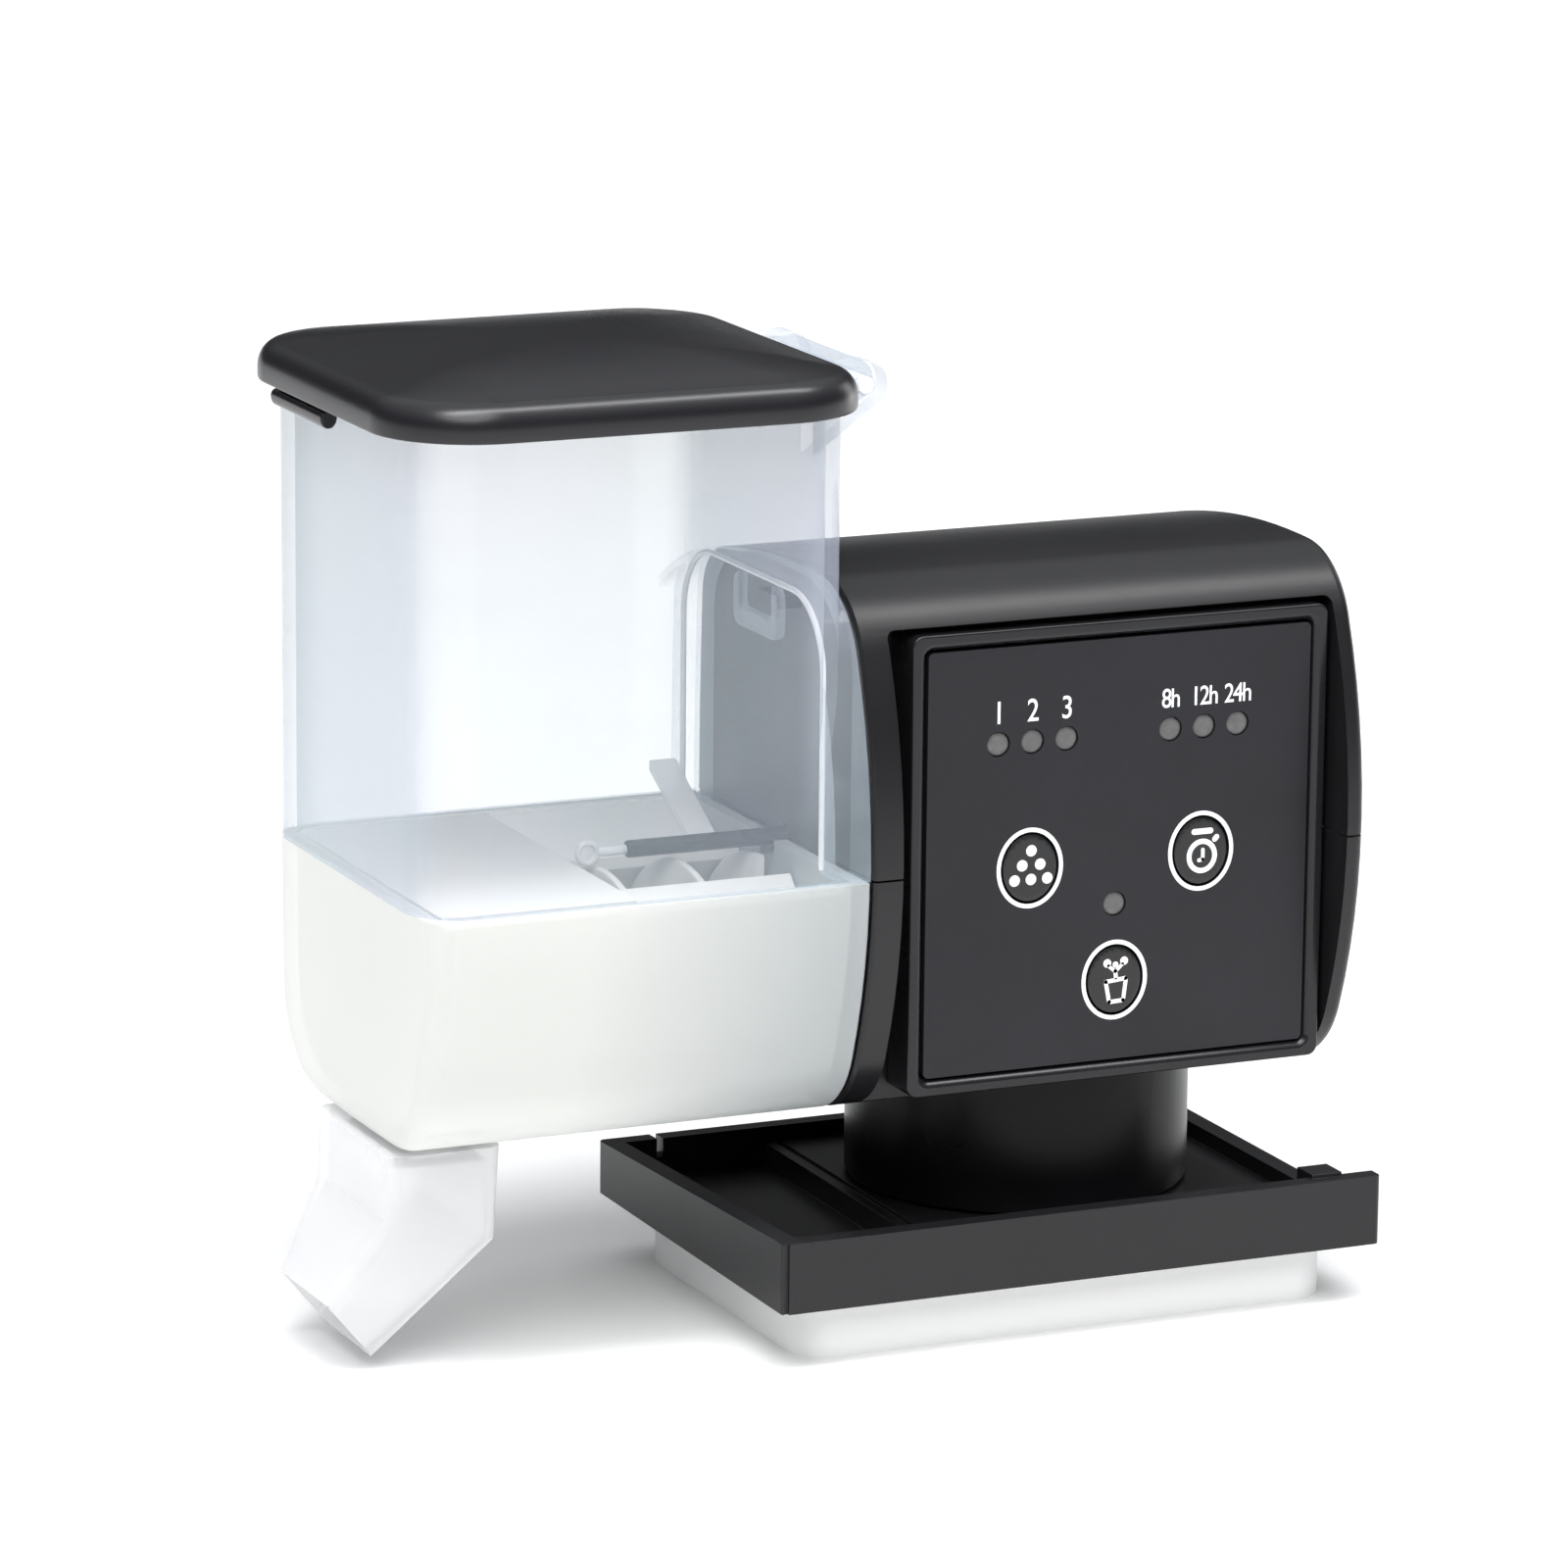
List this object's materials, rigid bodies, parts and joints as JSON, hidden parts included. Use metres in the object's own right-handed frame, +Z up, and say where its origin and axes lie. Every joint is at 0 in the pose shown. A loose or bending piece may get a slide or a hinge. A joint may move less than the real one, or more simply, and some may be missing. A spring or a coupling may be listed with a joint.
{
  "type": "automatic fish feeder",
  "caption": "Aquarium food dispenser: motor housing with key panel on a swivelling pedestal and tray, clear slide-off hopper with hinged lid, feed screw in a milky trough and a drop chute.",
  "frame": {"origin": "centre of the tray's flat underside, which rests on the tank's rim, hood or shelf; the drop chute reaches 7 mm below it, beside the tray", "axes": "+X along the feed screw from the hopper to the housing's free end, +Y from the control panel to the back, +Z up"},
  "size_m": [0.1528, 0.07, 0.1412],
  "materials": {
    "black_shell": "satin moulded ABS, fine grain",
    "black_lid": "satin top with glossy rim",
    "panel_plate": "satin printed plate",
    "key_face": "satin with white print",
    "lamp_lens": "unlit grey diffuser",
    "clear_plastic": "clear moulded polycarbonate",
    "milky_plastic": "milky translucent polypropylene",
    "white_plastic": "moulded acetal",
    "steel": "plain",
    "motor_can": "plain can",
    "brass": "plain",
    "board": "solder resist",
    "chip": "moulded epoxy",
    "cell_wrap": "printed sleeve, no markings"
  },
  "bodies": {
    "base": {"tray": "black_shell", "pivot_screw": "steel", "pivot_washer": "steel"},
    "head": {"pedestal": "black_shell", "lower_shell": "black_shell", "upper_shell": "black_shell", "panel_frame": "black_shell", "panel_overlay": "panel_plate", "light_guide_left": "lamp_lens", "light_guide_right": "lamp_lens", "light_guide_centre": "lamp_lens", "circuit_board": "board", "switch_amount": "steel", "switch_timer": "steel", "switch_feed": "steel", "controller_chip": "chip", "lamp_driver": "chip", "gear_plate": "steel", "motor": "motor_can", "idler_axle": "steel", "drive_bush": "white_plastic", "battery_box": "black_shell", "cell_lower": "cell_wrap", "cell_upper": "cell_wrap", "contact_left": "brass", "contact_right": "brass", "stirrer_bar": "black_shell", "case_screw_1": "steel", "case_screw_2": "steel", "case_screw_3": "steel", "case_screw_4": "steel", "pedestal_screw_1": "steel", "pedestal_screw_2": "steel"},
    "battery_door": {"battery_cover": "black_shell"},
    "amount_key": {"key_amount": "key_face"},
    "timer_key": {"key_timer": "key_face"},
    "feed_key": {"key_feed": "key_face"},
    "output_drive": {"output_gear": "white_plastic", "drive_coupler": "black_shell"},
    "idler": {"idler_gear": "white_plastic"},
    "pinion": {"motor_pinion": "brass"},
    "hopper_unit": {"hopper": "clear_plastic", "latch_tab": "clear_plastic", "guide_plate": "clear_plastic", "trough": "milky_plastic", "auger_bed": "milky_plastic", "chute": "milky_plastic", "hinge_pin": "clear_plastic"},
    "feed_screw": {"auger": "white_plastic"},
    "hopper_lid": {"lid": "black_lid", "lid_catch": "black_lid"}
  },
  "joints": [
    {"name": "head_swivel", "type": "hinge", "parent": "base", "child": "head", "pos_m": [0.0067, 0.0042, 0.0055], "axis": [0, 0, 1], "range_deg": [-90, 90]},
    {"name": "hopper_slide", "type": "slide", "parent": "head", "child": "hopper_unit", "axis": [-1, 0, 0], "range_m": [0, 0.03]},
    {"name": "lid_hinge", "type": "hinge", "parent": "hopper_unit", "child": "hopper_lid", "pos_m": [-0.0276, 0, 0.127], "axis": [0, 1, 0], "range_deg": [0, 105]},
    {"name": "screw_spin", "type": "hinge", "parent": "hopper_unit", "child": "feed_screw", "pos_m": [-0.07, 0, 0.045], "axis": [1, 0, 0], "continuous": true},
    {"name": "output_spin", "type": "hinge", "parent": "head", "child": "output_drive", "pos_m": [-0.0265, 0, 0.045], "axis": [1, 0, 0], "continuous": true},
    {"name": "idler_spin", "type": "hinge", "parent": "head", "child": "idler", "pos_m": [-0.0265, 0.002, 0.06309], "axis": [1, 0, 0], "continuous": true},
    {"name": "pinion_spin", "type": "hinge", "parent": "head", "child": "pinion", "pos_m": [-0.0226, 0, 0.07907], "axis": [1, 0, 0], "continuous": true},
    {"name": "cover_pull", "type": "slide", "parent": "head", "child": "battery_door", "axis": [0, 1, 0], "range_m": [0, 0.03]},
    {"name": "amount_press", "type": "slide", "parent": "head", "child": "amount_key", "axis": [0, 1, 0], "range_m": [0, 0.0005], "stiffness_N_per_m": 1000},
    {"name": "timer_press", "type": "slide", "parent": "head", "child": "timer_key", "axis": [0, 1, 0], "range_m": [0, 0.0005], "stiffness_N_per_m": 1000},
    {"name": "feed_press", "type": "slide", "parent": "head", "child": "feed_key", "axis": [0, 1, 0], "range_m": [0, 0.0005], "stiffness_N_per_m": 1000}
  ],
  "couplings": [
    {"joint": "output_spin", "follows": "screw_spin", "ratio": 1},
    {"joint": "idler_spin", "follows": "screw_spin", "ratio": -3.3333},
    {"joint": "pinion_spin", "follows": "screw_spin", "ratio": 12}
  ]
}
